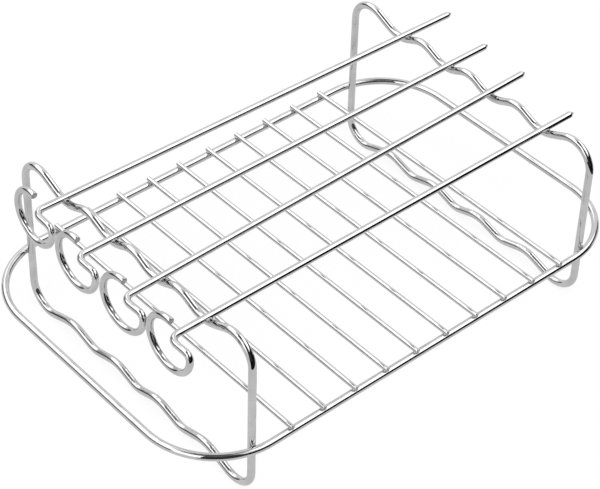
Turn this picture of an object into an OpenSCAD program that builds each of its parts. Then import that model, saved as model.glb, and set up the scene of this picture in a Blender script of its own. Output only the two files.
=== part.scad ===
// Wire rack for a basket air fryer, with four skewers that rest on it.
// One heavy wire is bent into a base ring, and ten thin cross wires are welded on top of it as a grid.
// Two closed wire frames with a wavy top and a wavy foot stand across the ring near its ends.
// Each skewer lies along the rack in one notch of either frame and ends in an open loop handle.
// X runs along the skewers with the points at +X, Y runs across the rack, and Z is up.
// The origin is on the surface that the rack stands on, under the middle of the ring.

/* [Wires] */
// Wire of the base ring
ring_wire_d = 3; // [2.4:0.1:4]
// Wire of the two end frames
frame_wire_d = 3; // [2.4:0.1:4]
// Wire of the grid's cross wires
cross_wire_d = 2; // [1.6:0.1:2.8]
// Wire of the skewers
skewer_wire_d = 2.7; // [2:0.1:3.2]
// How far two crossing wires are pressed into each other where they are welded
weld_sink = 0.2; // [0.1:0.05:0.4]

/* [Base ring] */
// Overall length of the ring
ring_length = 217; // [205:1:260]
// Overall width of the ring
ring_width = 141.2; // [130:0.1:170]
// Bend radius at the ring's corners, at the middle of the wire
ring_corner_r = 31; // [24:1:40]
// Height of the ring's wire above the surface, at the middle of the wire
ring_height = 25.4; // [18:0.1:40]

/* [Grid] */
// Distance from either frame to the nearest cross wire, middle to middle
grid_end_gap = 14.9; // [12:0.1:24]
// How far a cross wire's cut ends stop short of the ring's outer side
cross_inset = 0.4; // [0:0.1:1]

/* [End frames] */
// How far past the start of the ring's corner bends the frames stand
frame_past_bend = 6.4; // [0:0.1:10]
// Overall height of a frame
frame_height = 73.5; // [64:0.1:95]
// Bend radius of the two upper corners, at the middle of the wire
upper_corner_r = 9.7; // [7:0.1:11]
// Bend radius of the two lower corners, on which the rack stands
lower_corner_r = 9.6; // [7:0.1:11]
// Distance of the two inner notches from the middle of the frame
inner_notch_y = 12.7; // [12:0.1:15]
// Distance of the two outer notches from the middle of the frame
outer_notch_y = 39.6; // [37:0.1:42]
// Depth of the notches below the upper corners
notch_depth = 5; // [3:0.1:6]
// Drop of the middle crest below the upper corners
middle_crest_drop = 1.5; // [0:0.1:2]
// Drop of the two side crests below the upper corners
side_crest_drop = 1.3; // [0.4:0.1:2]
// Bend radius at the bottom of a notch, at the middle of the wire
notch_r = 13.9; // [11:0.1:15]
// Bend radius at a crest, at the middle of the wire
crest_r = 10.1; // [8:0.1:12]
// Rise of the foot's arches above the lower corners
arch_rise = 4.2; // [3.5:0.1:7]
// Rise of the foot's dips between the arches above the lower corners
dip_rise = 1.3; // [0.5:0.1:2.5]

/* [Skewers] */
// How far the points reach past the rear frame, before a skewer is pushed along
point_reach = 20.2; // [12:0.1:40]
// Length of the ground point
point_length = 2; // [1.5:0.1:8]
// Diameter left at the end of the point
point_end_d = 0.6; // [0.4:0.1:1]
// Bend radius from the shaft into the handle, at the middle of the wire
elbow_r = 3.9; // [3:0.1:4.5]
// Bend radius from the elbow down into the loop, which is also the drop of the loop's centre
lead_r = 2.3; // [2:0.1:3]
// Radius of the open loop, at the middle of the wire
loop_r = 10.9; // [10:0.1:14]
// How far the loop's centre lies to the far side of the shaft
loop_shift = -0.2; // [-1:0.1:1]
// Angle up from the far side at which the loop's end is cut
loop_end_angle = 95; // [60:1:110]
// Distance from the front frame to the handle's plane
handle_gap = 16.6; // [12:0.1:20]
// Clearance between a skewer and the wire it rests on
rest_gap = 0.05; // [0.02:0.01:0.2]

/* [Hidden] */
// How each skewer lies, from the far side to the near side: aside of its notch at the front frame,
// aside of its notch at the rear frame, pushed along its own length, and how much shorter it was cut
rest_front = [-0.6, -2.7, -4.7, -3.3];
rest_rear = [-5.5, -3.2, -0.1, -3.1];
rest_push = [2.4, -0.4, -1.4, -0.9];
cut_short = [0, 0, 0, 5.2];
// A skewer lies no further up a notch's round bottom than this share of the bend radius
rest_limit = 0.6;

ring_r = ring_wire_d / 2;
frame_r = frame_wire_d / 2;
cross_r = cross_wire_d / 2;
skewer_r = skewer_wire_d / 2;
round_wire = 16;

// A frame's wire is drawn a trace thinner through its bends, and the straight wire laps onto them
bend_thinning = 0.005;
bend_lap = 0.1;

// Middle line of the ring
ring_x = ring_length / 2 - ring_r;
ring_y = ring_width / 2 - ring_r;
ring_straight_x = ring_x - ring_corner_r;
ring_straight_y = ring_y - ring_corner_r;

// The frames stand inside the ring and are welded to it where it starts to bend
frame_x = ring_straight_x + frame_past_bend;
frame_span = 2 * frame_x;
weld_gap = ring_r + frame_r - weld_sink;
frame_y = ring_straight_y + sqrt(pow(ring_corner_r - weld_gap, 2) - pow(frame_past_bend, 2));

// The cross wires share out the length between the frames, and a skewer spans both frames
cross_count = 10;
cross_pitch = (frame_span - 2 * grid_end_gap) / (cross_count - 1);
shaft_length = handle_gap + frame_span + point_reach;

// Middle line of the frames
top_z = frame_height - frame_r;
foot_z = frame_r;
notch_z = top_z - notch_depth;
cross_z = ring_height + ring_r + cross_r - weld_sink;
cross_half = ring_width / 2 - cross_inset;

// The largest share of two wanted bend radii at which neighbouring bends still meet smoothly
function bend_share(run, rise, radii) = min(1, 0.97 * (run * run + rise * rise) / (2 * rise * radii));
side_notch_run = (outer_notch_y - inner_notch_y) / 2;
side_crest_y = inner_notch_y + side_notch_run;
upper_run = max(0, frame_y - upper_corner_r - outer_notch_y);
lower_run = max(0, frame_y - lower_corner_r - outer_notch_y);
corner_share = min(
    bend_share(upper_run, notch_depth, notch_r + upper_corner_r),
    bend_share(lower_run, arch_rise, notch_r + lower_corner_r)
);
wave_share = min(
    corner_share,
    bend_share(inner_notch_y, notch_depth - middle_crest_drop, notch_r + crest_r),
    bend_share(side_notch_run, notch_depth - side_crest_drop, notch_r + crest_r),
    bend_share(inner_notch_y, arch_rise - dip_rise, notch_r + crest_r),
    bend_share(side_notch_run, arch_rise - dip_rise, notch_r + crest_r)
);
valley_r = notch_r * wave_share;
hill_r = crest_r * wave_share;
upper_r = upper_corner_r * corner_share;
lower_r = lower_corner_r * corner_share;

// Bends of a frame's middle line in order, clockwise from the upper corner on the far side:
// centre across, centre up, radius, and 1 for a bend to the right or -1 for a bend to the left
function notch(y) = [y, notch_z + valley_r, valley_r, -1];
function crest(y, drop) = [y, top_z - drop - hill_r, hill_r, 1];
function arch(y) = [y, foot_z + arch_rise - valley_r, valley_r, -1];
function dip(y) = [y, foot_z + dip_rise + hill_r, hill_r, 1];
function upper_corner(side) = [side * (frame_y - upper_r), top_z - upper_r, upper_r, 1];
function lower_corner(side) = [side * (frame_y - lower_r), foot_z + lower_r, lower_r, 1];
frame_bends = [
    upper_corner(-1),
    notch(-outer_notch_y),
    crest(-side_crest_y, side_crest_drop),
    notch(-inner_notch_y),
    crest(0, middle_crest_drop),
    notch(inner_notch_y),
    crest(side_crest_y, side_crest_drop),
    notch(outer_notch_y),
    upper_corner(1),
    lower_corner(1),
    arch(outer_notch_y),
    dip(side_crest_y),
    arch(inner_notch_y),
    dip(0),
    arch(-inner_notch_y),
    dip(-side_crest_y),
    arch(-outer_notch_y),
    lower_corner(-1)
];

// Direction of the straight wire that runs from bend a to bend b and touches both
function run_dir(a, b) =
    let (dx = b[0] - a[0], dy = b[1] - a[1], k = b[3] * b[2] - a[3] * a[2])
    atan2(dy, dx) + atan2(k, sqrt(dx * dx + dy * dy - k * k));
function run_length(a, b) =
    let (dx = b[0] - a[0], dy = b[1] - a[1], k = b[3] * b[2] - a[3] * a[2])
    sqrt(dx * dx + dy * dy - k * k);
// Point of a bend at which the wire runs in a direction
function bend_point(bend, dir) = [
    bend[0] - bend[3] * bend[2] * sin(dir),
    bend[1] + bend[3] * bend[2] * cos(dir)
];
function turn(from, to, side) = side > 0 ? posmod(from - to) : posmod(to - from);
function posmod(angle) = angle - 360 * floor(angle / 360);

// Straight wire in the XY plane from a point in a direction, lapped onto the bends at its ends
module straight_wire(point, dir, length, radius, lap = 0) {
    translate([point[0], point[1], 0])
        rotate([0, 0, dir])
            translate([-lap, 0, 0])
                rotate([90, 0, 90])
                    cylinder(h = length + 2 * lap, r = radius, $fn = round_wire);
}

// Bent wire in the XY plane about a centre, from one angle through a sweep
module bent_wire(centre, bend_radius, start, sweep, radius) {
    translate([centre[0], centre[1], 0])
        rotate([0, 0, start])
            rotate_extrude(angle = sweep, $fn = bend_radius > 20 ? 48 : 36)
                translate([bend_radius, 0])
                    circle(r = radius, $fn = round_wire);
}

// Closed wire in the XY plane that follows a list of bends, drawn thinner where it is bent
module closed_wire(bends, radius, lap = 0, thinning = 0) {
    count = len(bends);
    for (i = [0 : count - 1]) {
        this = bends[i];
        next = bends[(i + 1) % count];
        last = bends[(i + count - 1) % count];
        dir_in = run_dir(last, this);
        dir_out = run_dir(this, next);
        sweep = turn(dir_in, dir_out, this[3]);
        start = this[3] > 0 ? dir_out + 90 : dir_in - 90;
        bent_wire(this, this[2], start, sweep, radius - thinning);
        straight_wire(bend_point(this, dir_out), dir_out, run_length(this, next), radius, lap);
    }
}

module ring_wire() {
    bends = [
        [-ring_straight_x, ring_straight_y, ring_corner_r, 1],
        [ring_straight_x, ring_straight_y, ring_corner_r, 1],
        [ring_straight_x, -ring_straight_y, ring_corner_r, 1],
        [-ring_straight_x, -ring_straight_y, ring_corner_r, 1]
    ];
    translate([0, 0, ring_height])
        closed_wire(bends, ring_r);
}

// The ring, set down onto the uprights of both frames at its four welds
module base_ring() {
    color("silver")
        difference() {
            ring_wire();
            for (x = [-frame_x, frame_x], y = [-frame_y, frame_y])
                translate([x, y, ring_height - 4 * ring_r])
                    cylinder(h = 8 * ring_r, r = frame_r, $fn = round_wire);
        }
}

module end_frame(x) {
    color("silver")
        translate([x, 0, 0])
            rotate([90, 0, 90])
                closed_wire(frame_bends, frame_r, bend_lap, bend_thinning);
}

module front_end_frame() {
    end_frame(-frame_x);
}

module rear_end_frame() {
    end_frame(frame_x);
}

// Cross wire in place number 1 to 10 from the front, set down onto the ring at both ends
module cross_wire(place) {
    x = (place - (cross_count + 1) / 2) * cross_pitch;
    color("lightgray")
        difference() {
            translate([x, -cross_half, cross_z])
                rotate([-90, 0, 0])
                    cylinder(h = 2 * cross_half, r = cross_r, $fn = round_wire);
            for (y = [-ring_y, ring_y])
                translate([x - 4 * cross_r, y, ring_height])
                    rotate([0, 90, 0])
                        cylinder(h = 8 * cross_r, r = ring_r, $fn = 48);
        }
}

// Middle of a skewer over a notch, when it lies aside of the notch's lowest point
function seat(notch_y, aside) =
    let (swing = valley_r - frame_r - skewer_r - rest_gap)
    let (angle = asin(max(-rest_limit, min(rest_limit, aside / swing))))
    [notch_y + swing * sin(angle), notch_z + valley_r - swing * cos(angle)];

// The lead-in bend runs into the loop at the loop's near side, level with its centre
lead_y = loop_shift - (loop_r - lead_r);

// Skewer along X with the handle's plane at the origin
module skewer_form(shorter) {
    shaft_end = shaft_length - shorter - point_length;
    translate([elbow_r, 0, 0])
        rotate([0, 90, 0])
            cylinder(h = shaft_end - elbow_r, r = skewer_r, $fn = round_wire);
    translate([shaft_end, 0, 0])
        rotate([0, 90, 0])
            cylinder(h = point_length, r1 = skewer_r, r2 = point_end_d / 2, $fn = round_wire);
    bent_wire([elbow_r, -elbow_r], elbow_r, 90, 90, skewer_r);
    rotate([90, 0, 90]) {
        straight_wire([-elbow_r, 0], 180, -elbow_r - lead_y, skewer_r);
        bent_wire([lead_y, -lead_r], lead_r, 90, 90, skewer_r);
        bent_wire([loop_shift, -lead_r], loop_r, 180, 180 + loop_end_angle, skewer_r);
    }
}

// Skewer laid over both frames, place 0 to 3 from the far side
module laid_skewer(place) {
    notch_y = [outer_notch_y, inner_notch_y, -inner_notch_y, -outer_notch_y][place];
    front = seat(notch_y, rest_front[place]);
    rear = seat(notch_y, rest_rear[place]);
    side = rear[0] - front[0];
    rise = rear[1] - front[1];
    color("gainsboro")
        translate([-frame_x, front[0], front[1]])
            rotate([0, -atan2(rise, sqrt(frame_span * frame_span + side * side)), atan2(side, frame_span)])
                translate([rest_push[place] - handle_gap, 0, 0])
                    skewer_form(cut_short[place]);
}

module cross_wire_1() { cross_wire(1); }
module cross_wire_2() { cross_wire(2); }
module cross_wire_3() { cross_wire(3); }
module cross_wire_4() { cross_wire(4); }
module cross_wire_5() { cross_wire(5); }
module cross_wire_6() { cross_wire(6); }
module cross_wire_7() { cross_wire(7); }
module cross_wire_8() { cross_wire(8); }
module cross_wire_9() { cross_wire(9); }
module cross_wire_10() { cross_wire(10); }
module skewer_1() { laid_skewer(0); }
module skewer_2() { laid_skewer(1); }
module skewer_3() { laid_skewer(2); }
module skewer_4() { laid_skewer(3); }

base_ring();
front_end_frame();
rear_end_frame();
cross_wire_1();
cross_wire_2();
cross_wire_3();
cross_wire_4();
cross_wire_5();
cross_wire_6();
cross_wire_7();
cross_wire_8();
cross_wire_9();
cross_wire_10();
skewer_1();
skewer_2();
skewer_3();
skewer_4();
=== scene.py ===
"""Air fryer rack of bright stainless wire with four loop-handled skewers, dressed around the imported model."""

import logging
import math
from dataclasses import dataclass, field
from enum import Enum
from typing import Optional

import bmesh
import bpy
from mathutils import Matrix, Vector


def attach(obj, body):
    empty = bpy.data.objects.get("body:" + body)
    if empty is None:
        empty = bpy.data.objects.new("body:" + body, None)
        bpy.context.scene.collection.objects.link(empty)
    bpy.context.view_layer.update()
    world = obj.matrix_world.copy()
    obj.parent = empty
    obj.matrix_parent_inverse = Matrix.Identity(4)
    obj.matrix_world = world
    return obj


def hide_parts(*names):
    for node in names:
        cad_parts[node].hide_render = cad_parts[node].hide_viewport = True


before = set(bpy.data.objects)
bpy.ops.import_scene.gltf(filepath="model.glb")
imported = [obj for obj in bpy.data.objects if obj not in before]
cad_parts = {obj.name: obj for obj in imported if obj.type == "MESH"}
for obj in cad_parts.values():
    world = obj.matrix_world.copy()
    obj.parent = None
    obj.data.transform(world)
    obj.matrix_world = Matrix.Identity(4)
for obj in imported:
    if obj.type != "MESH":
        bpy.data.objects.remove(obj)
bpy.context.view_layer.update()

MM = 0.001
LOG = logging.getLogger("rack")
X_AXIS = Vector((1, 0, 0))
Z_AXIS = Vector((0, 0, 1))


class Slot(Enum):
    """The record's material slots."""

    RING = "ring_wire"
    FRAME = "frame_wire"
    GRID = "grid_wire"
    SKEWER = "skewer_wire"


class Side(Enum):
    """Which way a wire turns at a bend, seen along its run."""

    RIGHT = 1
    LEFT = -1


class RayKind(Enum):
    """Kinds of ray that a piece of studio gear can be seen by."""

    CAMERA = "visible_camera"
    DIFFUSE = "visible_diffuse"
    GLOSSY = "visible_glossy"
    TRANSMISSION = "visible_transmission"
    SHADOW = "visible_shadow"


def linear(hex_colour: str) -> tuple[float, float, float, float]:
    """Turns an sRGB hex colour to linear light.

    Args:
        hex_colour: colour as #RRGGBB.

    Returns:
        Red, green, blue and an alpha of 1.
    """
    parts = [int(hex_colour[i:i + 2], 16) / 255 for i in (1, 3, 5)]
    light = [v / 12.92 if v <= 0.04045 else ((v + 0.055) / 1.055) ** 2.4 for v in parts]
    return (light[0], light[1], light[2], 1.0)


def add_node(tree: bpy.types.NodeTree, kind: str, inputs: Optional[dict] = None, **settings: object) -> bpy.types.Node:
    """Adds a node with its settings, values and links.

    Args:
        tree: node tree that gets the node.
        kind: type name of the node.
        inputs: value or output socket for each named or numbered input.
        **settings: properties of the node.

    Returns:
        The new node.
    """
    node = tree.nodes.new(kind)
    for key, value in settings.items():
        setattr(node, key, value)
    for key, value in (inputs or {}).items():
        if isinstance(value, bpy.types.NodeSocket):
            tree.links.new(value, node.inputs[key])
        else:
            node.inputs[key].default_value = value
    return node


def new_material(name: str) -> bpy.types.Material:
    """Makes an empty node material.

    Args:
        name: name of the material.

    Returns:
        The material, with no nodes in it.
    """
    material = bpy.data.materials.new(name)
    material.use_nodes = True
    material.node_tree.nodes.clear()
    return material


def deselect_all() -> None:
    """Leaves edit mode and deselects every object."""
    if bpy.context.object and bpy.context.object.mode != "OBJECT":
        bpy.ops.object.mode_set(mode="OBJECT")
    bpy.ops.object.select_all(action="DESELECT")


def pick(piece: bpy.types.Object) -> None:
    """Makes one piece the only selected and the active object."""
    deselect_all()
    piece.select_set(True)
    bpy.context.view_layer.objects.active = piece


def copy_piece(source: bpy.types.Object, name: str, place: Matrix) -> bpy.types.Object:
    """Copies a piece with its own mesh, and puts the copy's place in that mesh.

    Args:
        source: piece to copy.
        name: name of the copy.
        place: where the copy goes.

    Returns:
        The copy, with its object at the origin.
    """
    copy = source.copy()
    copy.data = source.data.copy()
    copy.name = name
    copy.data.name = name
    copy.data.transform(place)
    bpy.context.collection.objects.link(copy)
    return copy


@dataclass(frozen=True)
class DrawnSteel:
    """Stainless wire, drawn bright and electropolished: mirror gloss with faint die lines along the wire.

    The gloss makes the sharp black and white lines on each wire. The die lines break them up a little, and the
    cloudy patches are what handling and washing leave.
    """

    name: str
    bright: str = "#D0D0D0"
    dull: str = "#C2C2C3"
    smooth: float = 0.03
    rough: float = 0.08
    line_width_mm: float = 0.3
    line_length_mm: float = 45.0
    patch_mm: float = 7.0
    line_height_mm: float = 0.0006

    def build(self) -> bpy.types.Material:
        """Builds the material's nodes.

        Returns:
            The material.
        """
        material = new_material(self.name)
        tree = material.node_tree
        strand = add_node(tree, "ShaderNodeAttribute", attribute_name="strand").outputs["Vector"]
        across = 1 / (self.line_width_mm * MM)
        stretched = add_node(tree, "ShaderNodeMapping", {
            "Vector": strand, "Scale": (across, across, 1 / (self.line_length_mm * MM)),
        })
        lines = add_node(tree, "ShaderNodeTexNoise", {
            "Vector": stretched.outputs[0], "Scale": 1.0, "Detail": 3.0, "Roughness": 0.6,
        })
        per_patch = 1 / (self.patch_mm * MM)
        patches = add_node(tree, "ShaderNodeTexNoise", {"Vector": strand, "Scale": per_patch, "Detail": 2.0})
        colour = add_node(tree, "ShaderNodeMix", {
            0: add_node(tree, "ShaderNodeMapRange", {
                "Value": patches.outputs[0], "From Min": 0.35, "From Max": 0.7,
            }).outputs[0],
            6: linear(self.bright), 7: linear(self.dull),
        }, data_type="RGBA")
        gloss = add_node(tree, "ShaderNodeMapRange", {
            "Value": lines.outputs[0], "From Min": 0.3, "From Max": 0.7, "To Min": self.smooth, "To Max": self.rough,
        })
        bump = add_node(tree, "ShaderNodeBump", {
            "Height": lines.outputs[0], "Strength": 1.0, "Distance": self.line_height_mm * MM,
        })
        shader = add_node(tree, "ShaderNodeBsdfPrincipled", {
            "Base Color": colour.outputs[2], "Metallic": 1.0, "Roughness": gloss.outputs[0], "Normal": bump.outputs[0],
        })
        add_node(tree, "ShaderNodeOutputMaterial", {"Surface": shader.outputs[0]})
        return material


@dataclass(frozen=True)
class WorkedSteel:
    """Stainless steel where a tool has cut, ground or melted it: duller than the wire, with a coarser grain.

    It sets off the ground points, the sheared ends and the weld beads from the bright wire.
    """

    name: str
    bright: str
    dull: str
    smooth: float
    rough: float
    grain_mm: float
    height_mm: float

    def build(self) -> bpy.types.Material:
        """Builds the material's nodes.

        Returns:
            The material.
        """
        material = new_material(self.name)
        tree = material.node_tree
        place = add_node(tree, "ShaderNodeTexCoord").outputs["Object"]
        grain = add_node(tree, "ShaderNodeTexNoise", {
            "Vector": place, "Scale": 1 / (self.grain_mm * MM), "Detail": 3.0, "Roughness": 0.65,
        })
        ramp = add_node(tree, "ShaderNodeValToRGB", {"Fac": grain.outputs[0]})
        ramp.color_ramp.elements[0].position = 0.35
        ramp.color_ramp.elements[0].color = linear(self.dull)
        ramp.color_ramp.elements[1].position = 0.65
        ramp.color_ramp.elements[1].color = linear(self.bright)
        gloss = add_node(tree, "ShaderNodeMapRange", {
            "Value": grain.outputs[0], "From Min": 0.3, "From Max": 0.7, "To Min": self.rough, "To Max": self.smooth,
        })
        bump = add_node(tree, "ShaderNodeBump", {
            "Height": grain.outputs[0], "Strength": 1.0, "Distance": self.height_mm * MM,
        })
        shader = add_node(tree, "ShaderNodeBsdfPrincipled", {
            "Base Color": ramp.outputs[0], "Metallic": 1.0, "Roughness": gloss.outputs[0],
            "Normal": bump.outputs[0],
        })
        add_node(tree, "ShaderNodeOutputMaterial", {"Surface": shader.outputs[0]})
        return material


RING_STEEL = DrawnSteel("electropolished_ring_wire")
FRAME_STEEL = DrawnSteel("electropolished_frame_wire")
GRID_STEEL = DrawnSteel("electropolished_grid_wire", line_width_mm=0.25)
SKEWER_STEEL = DrawnSteel("polished_skewer_wire", bright="#CECECE", dull="#BFBFC0", smooth=0.04, rough=0.1)
GROUND_STEEL = WorkedSteel("ground_point_steel", "#C6C6C6", "#A9A9A9", 0.14, 0.26, 0.2, 0.004)
SHEARED_STEEL = WorkedSteel("sheared_end_steel", "#B8B8B8", "#8F8F8F", 0.22, 0.4, 0.35, 0.02)
WELD_STEEL = WorkedSteel("cleaned_weld_steel", "#B9B8B6", "#8E8C88", 0.14, 0.32, 0.5, 0.02)


@dataclass
class WireBender:
    """Makes one round wire as a bench bender does: a straight run or a bend at a time, from where the last ended.

    Each point of the mesh keeps where it would be on the straight wire before bending, in an attribute called
    strand, so that the die lines of the steel follow the wire round its bends.
    """

    name: str
    radius: float
    point: Vector
    heading: Vector
    sides: int = 32
    along: float = 0.0
    degrees_per_step: float = 6.0
    guard: float = 0.4 * MM
    piece: Optional[bpy.types.Object] = None

    def start(self, share: float = 1.0) -> "WireBender":
        """Adds the first ring of the wire, open and square to the heading.

        Args:
            share: radius of the ring as a share of the wire's.

        Returns:
            The bender itself.
        """
        deselect_all()
        turn = self.heading.to_track_quat("Z", "Y")
        bpy.ops.mesh.primitive_circle_add(
            vertices=self.sides, radius=self.radius * share, fill_type="NOTHING",
            location=self.point, rotation=turn.to_euler(),
        )
        self.piece = bpy.context.object
        self.piece.name = self.name
        self.piece.data.name = self.name
        bpy.ops.object.transform_apply(location=True, rotation=True, scale=True)
        bpy.ops.object.mode_set(mode="EDIT")
        bpy.ops.mesh.select_mode(type="VERT")
        bpy.ops.mesh.select_all(action="SELECT")
        mesh = bmesh.from_edit_mesh(self.piece.data)
        strand = mesh.verts.layers.float_vector.new("strand")
        side, over = turn @ X_AXIS, turn @ Vector((0, 1, 0))
        for vert in mesh.verts:
            offset = (vert.co - self.point) / share
            vert[strand] = Vector((offset.dot(side), offset.dot(over), self.along))
        bmesh.update_edit_mesh(self.piece.data)
        return self

    def mark(self) -> None:
        """Writes how far along the wire the newest ring lies."""
        mesh = bmesh.from_edit_mesh(self.piece.data)
        strand = mesh.verts.layers.float_vector["strand"]
        for vert in mesh.verts:
            if vert.select:
                vert[strand] = Vector((vert[strand].x, vert[strand].y, self.along))

    def run(self, length: float) -> "WireBender":
        """Carries the wire straight on, with a ring near each end that keeps the bends' smooth shading out of it.

        Args:
            length: how far.

        Returns:
            The bender itself.
        """
        if length < 4 * self.guard:
            return self.taper(length)
        return self.taper(self.guard).taper(length - 2 * self.guard).taper(self.guard)

    def taper(self, length: float, share: float = 1.0) -> "WireBender":
        """Carries the wire straight on by a single step.

        Args:
            length: how far.
            share: how much wider or narrower its end gets.

        Returns:
            The bender itself.
        """
        step = self.heading * length
        bpy.ops.mesh.extrude_region_move(TRANSFORM_OT_translate={"value": step})
        self.point = self.point + step
        self.along += length
        if share != 1.0:
            bpy.ops.transform.resize(value=(share, share, share), center_override=self.point)
        self.mark()
        return self

    def bend(self, axis: Vector, bend_radius: float, degrees: float) -> "WireBender":
        """Bends the wire about an axis.

        Args:
            axis: axis that the wire turns about, by the right-hand rule.
            bend_radius: radius of the bend at the middle of the wire.
            degrees: how far it turns.

        Returns:
            The bender itself.
        """
        steps = max(1, math.ceil(degrees / self.degrees_per_step))
        angle = math.radians(degrees) / steps
        centre = self.point + axis.cross(self.heading) * bend_radius
        turn = Matrix.Rotation(angle, 3, axis)
        for _ in range(steps):
            bpy.ops.mesh.spin(steps=1, angle=-angle, center=centre, axis=axis, use_auto_merge=False)
            self.point = centre + turn @ (self.point - centre)
            self.heading = turn @ self.heading
            self.along += angle * bend_radius
            self.mark()
        return self

    def cut(self, round_mm: float = 0.12) -> "WireBender":
        """Ends the wire in a sheared face with a slightly rounded rim.

        Args:
            round_mm: width of the rounded rim.

        Returns:
            The bender itself.
        """
        rim = round_mm * MM
        first = 1 - 0.3 * rim / self.radius
        self.taper(0.6 * rim, first)
        self.taper(0.4 * rim, (1 - rim / self.radius) / first)
        bpy.ops.mesh.edge_face_add()
        return self

    def cap_start(self) -> None:
        """Closes the first ring of the wire."""
        bpy.ops.mesh.select_all(action="DESELECT")
        mesh = bmesh.from_edit_mesh(self.piece.data)
        mesh.verts.ensure_lookup_table()
        for vert in mesh.verts[:self.sides]:
            vert.select = True
        mesh.select_flush(True)
        bmesh.update_edit_mesh(self.piece.data)
        bpy.ops.mesh.edge_face_add()

    def done(self) -> bpy.types.Object:
        """Merges the ends of a closed wire, turns all faces outwards and smooths them.

        Returns:
            The finished piece.
        """
        bpy.ops.mesh.select_all(action="SELECT")
        bpy.ops.mesh.remove_doubles(threshold=0.01 * MM)
        bpy.ops.mesh.normals_make_consistent(inside=False)
        bpy.ops.object.mode_set(mode="OBJECT")
        bpy.ops.object.shade_smooth_by_angle(angle=math.radians(32))
        return self.piece


@dataclass(frozen=True)
class Bend:
    """One bend of a closed wire in its own plane: its centre, its radius, and the side it turns to."""

    across: float
    up: float
    radius: float
    side: Side

    def tangent(self, other: "Bend") -> tuple[float, float]:
        """Gives the straight run that leaves this bend and touches the next one.

        Args:
            other: the next bend.

        Returns:
            Direction in radians, and length.
        """
        dx, dy = other.across - self.across, other.up - self.up
        spread = other.side.value * other.radius - self.side.value * self.radius
        length = math.sqrt(dx * dx + dy * dy - spread * spread)
        return math.atan2(dy, dx) + math.atan2(spread, length), length

    def touch(self, direction: float) -> Vector:
        """Gives the point of the bend at which the wire runs in a direction."""
        reach = self.side.value * self.radius
        return Vector((self.across - reach * math.sin(direction), self.up + reach * math.cos(direction), 0))


def bend_closed_wire(name: str, radius: float, bends: list[Bend], degrees_per_step: float) -> bpy.types.Object:
    """Bends a closed wire in the XY plane, with its butt joint in the middle of the last straight run.

    Args:
        name: name of the piece.
        radius: radius of the wire.
        bends: its bends in order.
        degrees_per_step: how finely the bends are stepped.

    Returns:
        The piece.
    """
    direction, length = bends[-1].tangent(bends[0])
    heading = Vector((math.cos(direction), math.sin(direction), 0))
    begin = bends[-1].touch(direction) + heading * (length / 2)
    bender = WireBender(name, radius, begin, heading, degrees_per_step=degrees_per_step)
    bender.start().run(length / 2)
    for i, bend in enumerate(bends):
        before = bends[i - 1].tangent(bend)[0]
        after, run = bend.tangent(bends[(i + 1) % len(bends)])
        swing = (before - after) * bend.side.value
        bender.bend(Z_AXIS * -bend.side.value, bend.radius, math.degrees(swing % (2 * math.pi)))
        if i + 1 < len(bends):
            bender.run(run)
    bender.run(length / 2)
    return bender.done()


@dataclass
class BaseRing:
    """Heavy wire bent to a rounded rectangle that carries the grid and ties the two end frames together."""

    half_length: float = 107.0 * MM
    half_width: float = 69.1 * MM
    corner: float = 31.0 * MM
    height: float = 25.4 * MM
    wire: float = 1.5 * MM
    pieces: list[bpy.types.Object] = field(default_factory=list)

    def build(self) -> None:
        """Bends the ring."""
        x, y = self.half_length - self.corner, self.half_width - self.corner
        corners = [(-x, y), (x, y), (x, -y), (-x, -y)]
        bends = [Bend(px, py, self.corner, Side.RIGHT) for px, py in corners]
        ring = bend_closed_wire("ring_bent_wire", self.wire, bends, 4.0)
        ring.data.transform(Matrix.Translation((0, 0, self.height)))
        self.pieces = [ring]

    def dress(self) -> None:
        """Gives the ring its steel and its place in the part."""
        ring = self.pieces[0]
        ring.data.materials.append(RING_STEEL.build())
        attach(ring, "root")
        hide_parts("base_ring")


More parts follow.
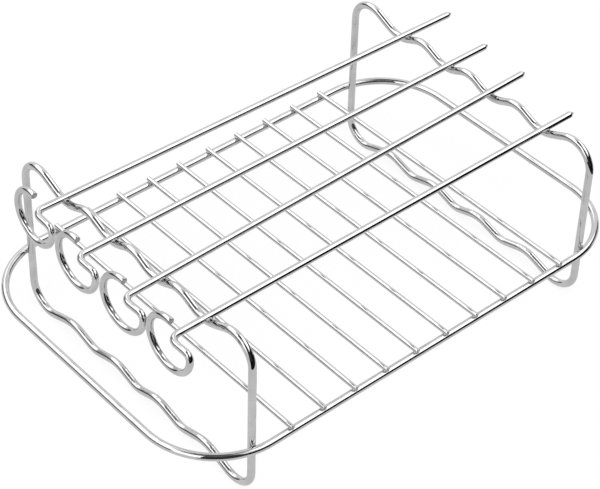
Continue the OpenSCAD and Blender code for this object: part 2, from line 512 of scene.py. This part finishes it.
@dataclass
class EndFrames:
    """Two closed wires with a wavy top, whose notches hold the skewers, and a wavy foot."""

    ring: BaseRing
    past_bend: float = 6.4 * MM
    top: float = 72.0 * MM
    foot: float = 1.5 * MM
    wire: float = 1.5 * MM
    weld_sink: float = 0.2 * MM
    upper_corner: float = 9.7 * MM
    lower_corner: float = 9.6 * MM
    notches: tuple[float, float] = (12.7 * MM, 39.6 * MM)
    notch_depth: float = 5.0 * MM
    crest_drops: tuple[float, float] = (1.5 * MM, 1.3 * MM)
    notch_radius: float = 13.9 * MM
    crest_radius: float = 10.1 * MM
    arch_rise: float = 4.2 * MM
    dip_rise: float = 1.3 * MM
    pieces: list[bpy.types.Object] = field(default_factory=list)

    @property
    def place_x(self) -> float:
        """Distance of a frame from the middle of the rack."""
        return self.ring.half_length - self.ring.corner + self.past_bend

    @property
    def half_width(self) -> float:
        """Distance of a frame's uprights from its middle, where the ring is welded to them."""
        reach = self.ring.corner - self.ring.wire - self.wire + self.weld_sink
        return self.ring.half_width - self.ring.corner + math.sqrt(reach ** 2 - self.past_bend ** 2)

    def bends(self) -> list[Bend]:
        """Lists a frame's bends, clockwise from the upper corner on one side.

        Returns:
            The bends in the frame's own plane.
        """
        inner, outer = self.notches
        crest = (inner + outer) / 2
        notch_up, arch_up = self.top - self.notch_depth, self.foot + self.arch_rise
        n, c = self.notch_radius, self.crest_radius
        upper, lower = self.half_width - self.upper_corner, self.half_width - self.lower_corner
        top = [(y, notch_up + n, n, Side.LEFT) for y in (-outer, -inner, inner, outer)]
        foot = [(y, arch_up - n, n, Side.LEFT) for y in (outer, inner, -inner, -outer)]
        crests = [(y, self.top - drop - c, c, Side.RIGHT)
                  for y, drop in zip((-crest, 0, crest), (self.crest_drops[1], *self.crest_drops))]
        dips = [(y, self.foot + self.dip_rise + c, c, Side.RIGHT) for y in (crest, 0, -crest)]
        places = [(-upper, self.top - self.upper_corner, self.upper_corner, Side.RIGHT), top[0]]
        for wave, notch in zip(crests, top[1:]):
            places += [wave, notch]
        places.append((upper, self.top - self.upper_corner, self.upper_corner, Side.RIGHT))
        places += [(lower, self.foot + self.lower_corner, self.lower_corner, Side.RIGHT), foot[0]]
        for wave, arch in zip(dips, foot[1:]):
            places += [wave, arch]
        places.append((-lower, self.foot + self.lower_corner, self.lower_corner, Side.RIGHT))
        return [Bend(*place) for place in places]

    def build(self) -> None:
        """Bends one frame, stands it up at the front and copies it to the rear."""
        front = bend_closed_wire("front_frame_bent_wire", self.wire, self.bends(), 5.0)
        stand = Matrix(((0, 0, 1, 0), (1, 0, 0, 0), (0, 1, 0, 0), (0, 0, 0, 1)))
        front.data.transform(Matrix.Translation((-self.place_x, 0, 0)) @ stand)
        shift = Matrix.Translation((2 * self.place_x, 0, 0))
        self.pieces = [front, copy_piece(front, "rear_frame_bent_wire", shift)]

    def dress(self) -> None:
        """Gives the frames their steel and their place in the part."""
        steel = FRAME_STEEL.build()
        for frame_wire, node in zip(self.pieces, ("front_end_frame", "rear_end_frame")):
            frame_wire.data.materials.append(steel)
            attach(frame_wire, "root")
            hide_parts(node)


@dataclass
class Grid:
    """Ten thin cross wires, cut to length and resistance welded on top of the ring."""

    ring: BaseRing
    frames: EndFrames
    count: int = 10
    end_gap: float = 14.9 * MM
    wire: float = 1.0 * MM
    inset: float = 0.4 * MM
    weld_sink: float = 0.2 * MM
    pieces: list[bpy.types.Object] = field(default_factory=list)

    @property
    def height(self) -> float:
        """Height of the cross wires' middle line."""
        return self.ring.height + self.ring.wire + self.wire - self.weld_sink

    @property
    def half_length(self) -> float:
        """Half the length of a cross wire."""
        return self.ring.half_width + self.ring.wire - self.inset

    def places(self) -> list[float]:
        """Gives where each cross wire lies along the rack."""
        reach = self.frames.place_x - self.end_gap
        return [-reach + 2 * reach * i / (self.count - 1) for i in range(self.count)]

    def build(self) -> None:
        """Cuts one cross wire and copies it to the ten places."""
        rim = 0.1 * MM
        begin = Vector((0, -self.half_length, self.height))
        bender = WireBender("grid_cross_wire", self.wire, begin, Vector((0, 1, 0)), sides=24)
        bender.start(1 - rim / self.wire).taper(0.4 * rim, (1 - 0.3 * rim / self.wire) / (1 - rim / self.wire))
        bender.taper(0.6 * rim, 1 / (1 - 0.3 * rim / self.wire))
        bender.run(2 * self.half_length - 2 * rim).cut(rim / MM)
        bender.cap_start()
        wire = bender.done()
        for i, x in enumerate(self.places(), 1):
            self.pieces.append(copy_piece(wire, f"grid_cross_wire_{i:02d}", Matrix.Translation((x, 0, 0))))
        bpy.data.objects.remove(wire)

    def dress(self) -> None:
        """Gives the cross wires their steel and their place in the part."""
        steel, sheared = GRID_STEEL.build(), SHEARED_STEEL.build()
        for i, wire in enumerate(self.pieces, 1):
            wire.data.materials.append(steel)
            wire.data.materials.append(sheared)
            for face in wire.data.polygons:
                face.material_index = 1 if abs(face.normal.y) > 0.9 else 0
            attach(wire, "root")
            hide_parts(f"cross_wire_{i}")


@dataclass
class Skewers:
    """Four skewers, each one wire with a ground point, an elbow and an open loop for a handle."""

    frames: EndFrames
    wire: float = 1.35 * MM
    handle_gap: float = 16.6 * MM
    point_reach: float = 20.2 * MM
    point_length: float = 2.0 * MM
    point_end: float = 0.3 * MM
    elbow: float = 3.9 * MM
    lead: float = 2.3 * MM
    loop: float = 10.9 * MM
    loop_shift: float = -0.2 * MM
    loop_degrees: float = 275.0
    rest_gap: float = 0.05 * MM
    rest_front: tuple[float, ...] = (-0.6, -2.7, -4.7, -3.3)
    rest_rear: tuple[float, ...] = (-5.5, -3.2, -0.1, -3.1)
    rest_push: tuple[float, ...] = (2.4, -0.4, -1.4, -0.9)
    cut_short: tuple[float, ...] = (0.0, 0.0, 0.0, 5.2)
    steels: list[bpy.types.Material] = field(default_factory=list)
    pieces: list[bpy.types.Object] = field(default_factory=list)

    @property
    def shaft(self) -> float:
        """Length of a shaft from the handle's plane to its point."""
        return self.handle_gap + 2 * self.frames.place_x + self.point_reach

    def seat(self, notch: float, aside: float) -> Vector:
        """Gives the middle of a skewer in a notch.

        Args:
            notch: place of the notch across the frame.
            aside: how far the skewer lies aside of the notch's lowest point.

        Returns:
            Place across and height, as Y and Z.
        """
        swing = self.frames.notch_radius - self.frames.wire - self.wire - self.rest_gap
        up = self.frames.top - self.frames.notch_depth + self.frames.notch_radius
        return Vector((0, notch + aside, up - math.sqrt(swing ** 2 - aside ** 2)))

    def bend_one(self, shorter: float) -> bpy.types.Object:
        """Bends one skewer along X, with the handle's plane at the origin.

        Args:
            shorter: how much of the shaft's end is missing.

        Returns:
            The skewer, with its steels.
        """
        end = self.shaft - shorter
        bender = WireBender("skewer_bent_wire", self.wire, Vector((end, 0, 0)), -X_AXIS, sides=32)
        radius, reached = 0.5 * self.point_end, 0.0
        bender.start(radius / self.wire)
        slope = (self.wire - 1.2 * self.point_end) / (self.point_length - 0.32 * MM)
        shoulder = self.wire - slope * 0.12 * MM
        rings = [(0.12 * MM, 0.9 * self.point_end), (0.32 * MM, 1.2 * self.point_end),
                 (self.point_length - 0.15 * MM, shoulder), (self.point_length + 0.1 * MM, self.wire)]
        for place, wanted in rings:
            bender.taper(place - reached, wanted / radius)
            radius, reached = wanted, place
        bender.run(end - reached - self.elbow)
        bender.bend(Z_AXIS, self.elbow, 90)
        bender.run(self.loop - self.lead - self.loop_shift - self.elbow)
        bender.bend(X_AXIS, self.lead, 90)
        bender.bend(X_AXIS, self.loop, self.loop_degrees)
        bender.cut()
        bender.cap_start()
        skewer = bender.done()
        for steel in self.steels:
            skewer.data.materials.append(steel)
        for face in skewer.data.polygons:
            if face.center.x > end - self.point_length:
                face.material_index = 1
            elif len(face.vertices) > 4:
                face.material_index = 2
        return skewer

    def build(self) -> None:
        """Bends a skewer of each length and lays copies in the notches."""
        self.steels = [steel.build() for steel in (SKEWER_STEEL, GROUND_STEEL, SHEARED_STEEL)]
        made = {shorter: self.bend_one(shorter * MM) for shorter in sorted(set(self.cut_short))}
        inner, outer = self.frames.notches
        span = 2 * self.frames.place_x
        for i, notch in enumerate((outer, inner, -inner, -outer)):
            front = self.seat(notch, self.rest_front[i] * MM)
            rear = self.seat(notch, self.rest_rear[i] * MM)
            lie = (rear - front) + X_AXIS * span
            tilt = Matrix.Rotation(-math.atan2(lie.z, math.hypot(lie.x, lie.y)), 4, "Y")
            swing = Matrix.Rotation(math.atan2(lie.y, lie.x), 4, "Z")
            begin = Matrix.Translation(front - X_AXIS * self.frames.place_x)
            push = Matrix.Translation(X_AXIS * (self.rest_push[i] * MM - self.handle_gap))
            source = made[self.cut_short[i]]
            self.pieces.append(copy_piece(source, f"skewer_bent_wire_{i + 1}", begin @ swing @ tilt @ push))
        for source in made.values():
            bpy.data.objects.remove(source)

    def dress(self) -> None:
        """Gives the skewers their place in the part."""
        for i, skewer in enumerate(self.pieces, 1):
            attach(skewer, "root")
            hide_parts(f"skewer_{i}")


@dataclass
class Welds:
    """Small beads of metal squeezed out where crossing wires are welded."""

    ring: BaseRing
    frames: EndFrames
    grid: Grid
    frame_bead: tuple[float, float, float] = (1.15 * MM, 0.6 * MM, 1.45 * MM)
    grid_bead: tuple[float, float, float] = (1.05 * MM, 1.0 * MM, 0.34 * MM)
    uneven: float = 0.06 * MM
    pieces: list[bpy.types.Object] = field(default_factory=list)

    def bead(self, name: str, size: tuple[float, float, float], seed: int) -> bpy.types.Object:
        """Shapes one bead at the origin.

        Args:
            name: name of the piece.
            size: half its extents.
            seed: seed of its unevenness.

        Returns:
            The bead.
        """
        deselect_all()
        bpy.ops.mesh.primitive_uv_sphere_add(segments=12, ring_count=8, radius=1.0 * MM)
        piece = bpy.context.object
        piece.name = name
        piece.data.name = name
        bpy.ops.object.mode_set(mode="EDIT")
        bpy.ops.mesh.select_all(action="SELECT")
        scale = tuple(v / MM for v in size)
        bpy.ops.transform.resize(value=scale, center_override=(0, 0, 0))
        bpy.ops.transform.vertex_random(offset=self.uneven, uniform=0.3, normal=0.7, seed=seed)
        bpy.ops.object.mode_set(mode="OBJECT")
        smooth = piece.modifiers.new("smooth", "SUBSURF")
        smooth.levels = smooth.render_levels = 1
        bpy.ops.object.modifier_apply(modifier="smooth")
        bpy.ops.object.shade_smooth()
        return piece

    def scatter(self, name: str, size: tuple[float, float, float], places: list[Matrix]) -> bpy.types.Object:
        """Puts a bead of its own shape in each place and joins them.

        Args:
            name: name of the joined piece.
            size: half the extents of a bead.
            places: where the beads go.

        Returns:
            The joined piece.
        """
        beads = []
        for i, place in enumerate(places):
            bead = self.bead(f"{name}_{i}", size, seed=i + 1)
            bead.data.transform(place)
            beads.append(bead)
        deselect_all()
        for bead in beads:
            bead.select_set(True)
        bpy.context.view_layer.objects.active = beads[0]
        bpy.ops.object.join()
        joined = bpy.context.object
        joined.name = name
        joined.data.name = name
        return joined

    def build(self) -> None:
        """Makes the beads at the frames and at the cross wires."""
        ring = self.ring
        cx, cy = ring.half_length - ring.corner, ring.half_width - ring.corner
        reach = ring.corner - ring.wire + self.frames.weld_sink / 2
        along, over = self.frames.past_bend, self.frames.half_width - cy
        span = math.hypot(along, over)
        at_frames = []
        for sx in (-1, 1):
            for sy in (-1, 1):
                out = Vector((sx * along / span, sy * over / span, 0))
                spot = Vector((sx * cx, sy * cy, ring.height)) + out * reach
                turn = Matrix.Rotation(math.atan2(out.y, out.x) - math.pi / 2, 4, "Z")
                at_frames.append(Matrix.Translation(spot) @ turn)
        top = ring.height + ring.wire
        at_grid = [Matrix.Translation((x, sy * ring.half_width, top))
                   for x in self.grid.places() for sy in (-1, 1)]
        self.pieces = [
            self.scatter("frame_weld_beads", self.frame_bead, at_frames),
            self.scatter("grid_weld_beads", self.grid_bead, at_grid),
        ]

    def dress(self) -> None:
        """Gives the beads their steel and their place in the part."""
        steel = WELD_STEEL.build()
        for beads, slot in zip(self.pieces, (Slot.FRAME, Slot.GRID)):
            beads.data.materials.clear()
            beads.data.materials.append(steel)
            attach(beads, "root")


@dataclass(frozen=True)
class Card:
    """A soft light, flag or grey card round the rack: the compass angles and the heights that it spans, in degrees."""

    name: str
    sides: tuple[float, float]
    heights: tuple[float, float]
    shine: float

    def spans(self, spot: Vector) -> bool:
        """Tells whether a place round the rack lies within the card."""
        side = math.degrees(math.atan2(spot.y, spot.x))
        height = math.degrees(math.atan2(spot.z, math.hypot(spot.x, spot.y)))
        around = (side - self.sides[0]) % 360 < self.sides[1] - self.sides[0]
        return around and self.heights[0] < height < self.heights[1]


@dataclass(frozen=True)
class TableBand:
    """Painted shade on the table, a dark glowing sheet seen only in gloss where the table is out of the light: its
    distances from the rack, and the angles that it spans.
    """

    name: str
    reach: tuple[float, float]
    sides: tuple[float, float]
    shine: float


@dataclass
class Studio:
    """White table and white surroundings, with soft lights at both sides and dark cards on the camera's side.

    Bright steel shows only what stands round it: the lights give each wire its white core, the dark cards its black
    line, and the table its grey edge. Only gloss sees the cards.
    """

    floor_half: float = 12.0
    floor_glow: float = 0.86
    floor_white: float = 1.03
    floor_in_gloss: float = 0.8
    lamp_size: float = 1.6
    lamp_watts: float = 18.0
    dome_radius: float = 3.0
    card_spacing: float = 0.03
    room_shine: float = 1.0
    room_fill: float = 0.45
    cards: tuple[Card, ...] = (
        Card("left_soft_light", (64.0, 185.0), (33.0, 69.0), 2.2),
        Card("right_soft_light", (-78.0, 13.0), (36.0, 69.0), 2.5),
        Card("near_left_reflector", (185.0, 214.0), (10.0, 56.0), 1.9),
        Card("ceiling", (-180.0, 180.0), (69.0, 78.0), 0.75),
        Card("ceiling_gap", (165.0, 263.0), (57.0, 78.0), 0.2),
        Card("dark_ceiling", (-180.0, 180.0), (78.0, 90.0), 0.06),
        Card("black_flag", (-97.0, -32.0), (-1.0, 33.0), 0.01),
        Card("dark_doorway", (-146.0, -97.0), (-1.0, 57.0), 0.05),
        Card("right_grey_card", (-32.0, 4.0), (-1.0, 30.0), 0.12),
        Card("left_dark_card", (98.0, 182.0), (-1.0, 14.0), 0.02),
        Card("left_grey_card", (98.0, 182.0), (14.0, 22.0), 0.35),
    )
    # painted shade: dark glowing sheets on the table, seen only in gloss, where the table is out of the light
    bands: tuple[TableBand, ...] = (
        TableBand("table_edge_painted_shade", (0.19, 2.9), (-150.0, -30.0), 0.01),
        TableBand("near_table_painted_shade", (0.11, 0.19), (-150.0, -45.0), 0.16),
        TableBand("right_table_painted_shade", (0.2, 2.9), (-30.0, 10.0), 0.2),
        TableBand("left_table_painted_shade", (0.23, 2.9), (96.0, 182.0), 0.03),
    )

    def seen_only_by(self, gear: bpy.types.Object, *kinds: RayKind) -> None:
        """Hides studio gear from all rays but those named."""
        for kind in RayKind:
            setattr(gear, kind.value, kind in kinds)

    def glow(self, name: str, colour: str, strength: float) -> bpy.types.Material:
        """Makes a plain glowing material.

        Args:
            name: name of the material.
            colour: its colour.
            strength: strength of the glow, where 1 is white.

        Returns:
            The material.
        """
        material = new_material(name)
        tree = material.node_tree
        shine = add_node(tree, "ShaderNodeEmission", {"Color": linear(colour), "Strength": strength})
        add_node(tree, "ShaderNodeOutputMaterial", {"Surface": shine.outputs[0]})
        return material

    def build_floor(self) -> None:
        """Lays the white table, which keeps the rack's shadow."""
        deselect_all()
        bpy.ops.mesh.primitive_plane_add(size=2 * self.floor_half)
        floor = bpy.context.object
        floor.name = "floor"
        material = new_material("white_paper")
        tree = material.node_tree
        path = add_node(tree, "ShaderNodeLightPath")
        seen = add_node(tree, "ShaderNodeMath", {
            0: path.outputs["Is Camera Ray"], 1: path.outputs["Is Glossy Ray"],
        }, operation="MAXIMUM")
        share = add_node(tree, "ShaderNodeMath", {0: seen.outputs[0], 1: self.floor_glow}, operation="MULTIPLY")
        paper = add_node(tree, "ShaderNodeBsdfDiffuse", {"Color": linear("#F4F4F4")})
        shine = add_node(tree, "ShaderNodeMapRange", {
            "Value": path.outputs["Is Camera Ray"], "To Min": self.floor_in_gloss, "To Max": self.floor_white,
        })
        white = add_node(tree, "ShaderNodeEmission", {"Strength": shine.outputs[0]})
        mixed = add_node(tree, "ShaderNodeMixShader", {
            0: share.outputs[0], 1: paper.outputs[0], 2: white.outputs[0],
        })
        add_node(tree, "ShaderNodeOutputMaterial", {"Surface": mixed.outputs[0]})
        floor.data.materials.append(material)

    def keep_faces(self, gear: bpy.types.Object, card: Card) -> None:
        """Cuts a dome or a table down to the faces within a card, and hides it from all but gloss.

        Args:
            gear: dome or table.
            card: what is kept of it.
        """
        gear.name = card.name
        bpy.ops.object.mode_set(mode="EDIT")
        bpy.ops.mesh.select_mode(type="FACE")
        mesh = bmesh.from_edit_mesh(gear.data)
        for face in mesh.faces:
            face.select = not card.spans(face.calc_center_median())
        bmesh.update_edit_mesh(gear.data)
        bpy.ops.mesh.delete(type="FACE")
        bpy.ops.object.mode_set(mode="OBJECT")
        gear.data.materials.append(self.glow(f"{card.name}_cloth", "#FFFFFF", card.shine))
        self.seen_only_by(gear, RayKind.GLOSSY)

    def build_cards(self) -> None:
        """Hangs the cards on wide domes round the rack, each a little nearer than the last so that none coincide."""
        for i, card in enumerate(self.cards):
            deselect_all()
            radius = self.dome_radius - i * self.card_spacing
            bpy.ops.mesh.primitive_uv_sphere_add(segments=180, ring_count=90, radius=radius)
            self.keep_faces(bpy.context.object, card)

    def build_bands(self) -> None:
        """Lays the painted shade on the table: dark glowing sheets, seen only in gloss, where it is out of the light.
        """
        lift = 0.5 * MM
        for band in self.bands:
            inner, outer = band.reach
            deselect_all()
            bpy.ops.mesh.primitive_circle_add(vertices=120, radius=inner, location=(0, 0, lift))
            table = bpy.context.object
            bpy.ops.object.transform_apply(location=True, rotation=True, scale=True)
            bpy.ops.object.mode_set(mode="EDIT")
            bpy.ops.mesh.select_all(action="SELECT")
            bpy.ops.mesh.extrude_region_move()
            grow = outer / inner
            bpy.ops.transform.resize(value=(grow, grow, 1), center_override=(0, 0, lift))
            bpy.ops.object.mode_set(mode="OBJECT")
            self.keep_faces(table, Card(band.name, band.sides, (-1.0, 1.0), band.shine))

    def build_lamp(self) -> None:
        """Hangs the soft lamp that lights the table and gives the rack its shadow."""
        lamp_data = bpy.data.lights.new("soft_lamp", "AREA")
        lamp_data.shape = "SQUARE"
        lamp_data.size = self.lamp_size
        lamp_data.energy = self.lamp_watts
        lamp = bpy.data.objects.new("soft_lamp", lamp_data)
        lamp.location = (-0.35, -0.4, 1.3)
        lamp.rotation_euler = (Vector((0, 0, 0)) - lamp.location).to_track_quat("-Z", "Y").to_euler()
        lamp.visible_glossy = False
        bpy.context.collection.objects.link(lamp)

    def build_room(self) -> None:
        """Sets the white surroundings: white to the camera, pale in gloss, and a plain fill on everything."""
        world = bpy.data.worlds.new("white_room")
        world.use_nodes = True
        tree = world.node_tree
        tree.nodes.clear()
        path = add_node(tree, "ShaderNodeLightPath")
        gloss = add_node(tree, "ShaderNodeMapRange", {
            "Value": path.outputs["Is Glossy Ray"], "To Min": self.room_fill, "To Max": self.room_shine,
        })
        strength = add_node(tree, "ShaderNodeMath", {
            0: path.outputs["Is Camera Ray"], 1: gloss.outputs[0],
        }, operation="MAXIMUM")
        back = add_node(tree, "ShaderNodeBackground", {"Strength": strength.outputs[0]})
        back.inputs["Color"].default_value = linear("#FFFFFF")
        add_node(tree, "ShaderNodeOutputWorld", {"Surface": back.outputs[0]})
        bpy.context.scene.world = world

    def build(self) -> None:
        """Builds the floor, the lamp, the cards and the surroundings."""
        self.build_floor()
        self.build_bands()
        self.build_lamp()
        self.build_cards()
        self.build_room()


@dataclass
class Viewpoint:
    """The camera, at the height, side and distance from which the rack is seen."""

    place: tuple[float, float, float] = (-400.902 * MM, -440.042 * MM, 546.681 * MM)
    azimuth: float = math.radians(-42.079)
    elevation: float = math.radians(41.082)
    roll: float = math.radians(1.832)
    lens_mm: float = 123.340
    sensor_mm: float = 36.0

    def build(self) -> None:
        """Places the camera and makes it the scene's."""
        data = bpy.data.cameras.new("camera")
        data.sensor_fit = "HORIZONTAL"
        data.sensor_width = self.sensor_mm
        data.lens = self.lens_mm
        camera = bpy.data.objects.new("camera", data)
        level = math.cos(self.elevation)
        back = Vector((math.sin(self.azimuth) * level, -math.cos(self.azimuth) * level, math.sin(self.elevation)))
        right = (-back).cross(Z_AXIS).normalized()
        up = back.cross(right)
        turned_right = right * math.cos(self.roll) + up * math.sin(self.roll)
        turned_up = up * math.cos(self.roll) - right * math.sin(self.roll)
        turn = Matrix((turned_right, turned_up, back)).transposed().to_4x4()
        camera.matrix_world = Matrix.Translation(self.place) @ turn
        bpy.context.collection.objects.link(camera)
        bpy.context.scene.camera = camera


def main() -> None:
    """Builds the rack, its studio and its camera in order."""
    logging.basicConfig(level=logging.INFO, format="%(message)s")
    bpy.context.scene.view_settings.view_transform = "Standard"
    ring = BaseRing()
    frames = EndFrames(ring)
    grid = Grid(ring, frames)
    skewers = Skewers(frames)
    welds = Welds(ring, frames, grid)
    for assembly in (ring, frames, grid, skewers, welds):
        assembly.build()
        assembly.dress()
        for piece in assembly.pieces:
            LOG.info("%s: %d faces", piece.name, len(piece.data.polygons))
    Studio().build()
    Viewpoint().build()


if __name__ == "__main__":
    main()
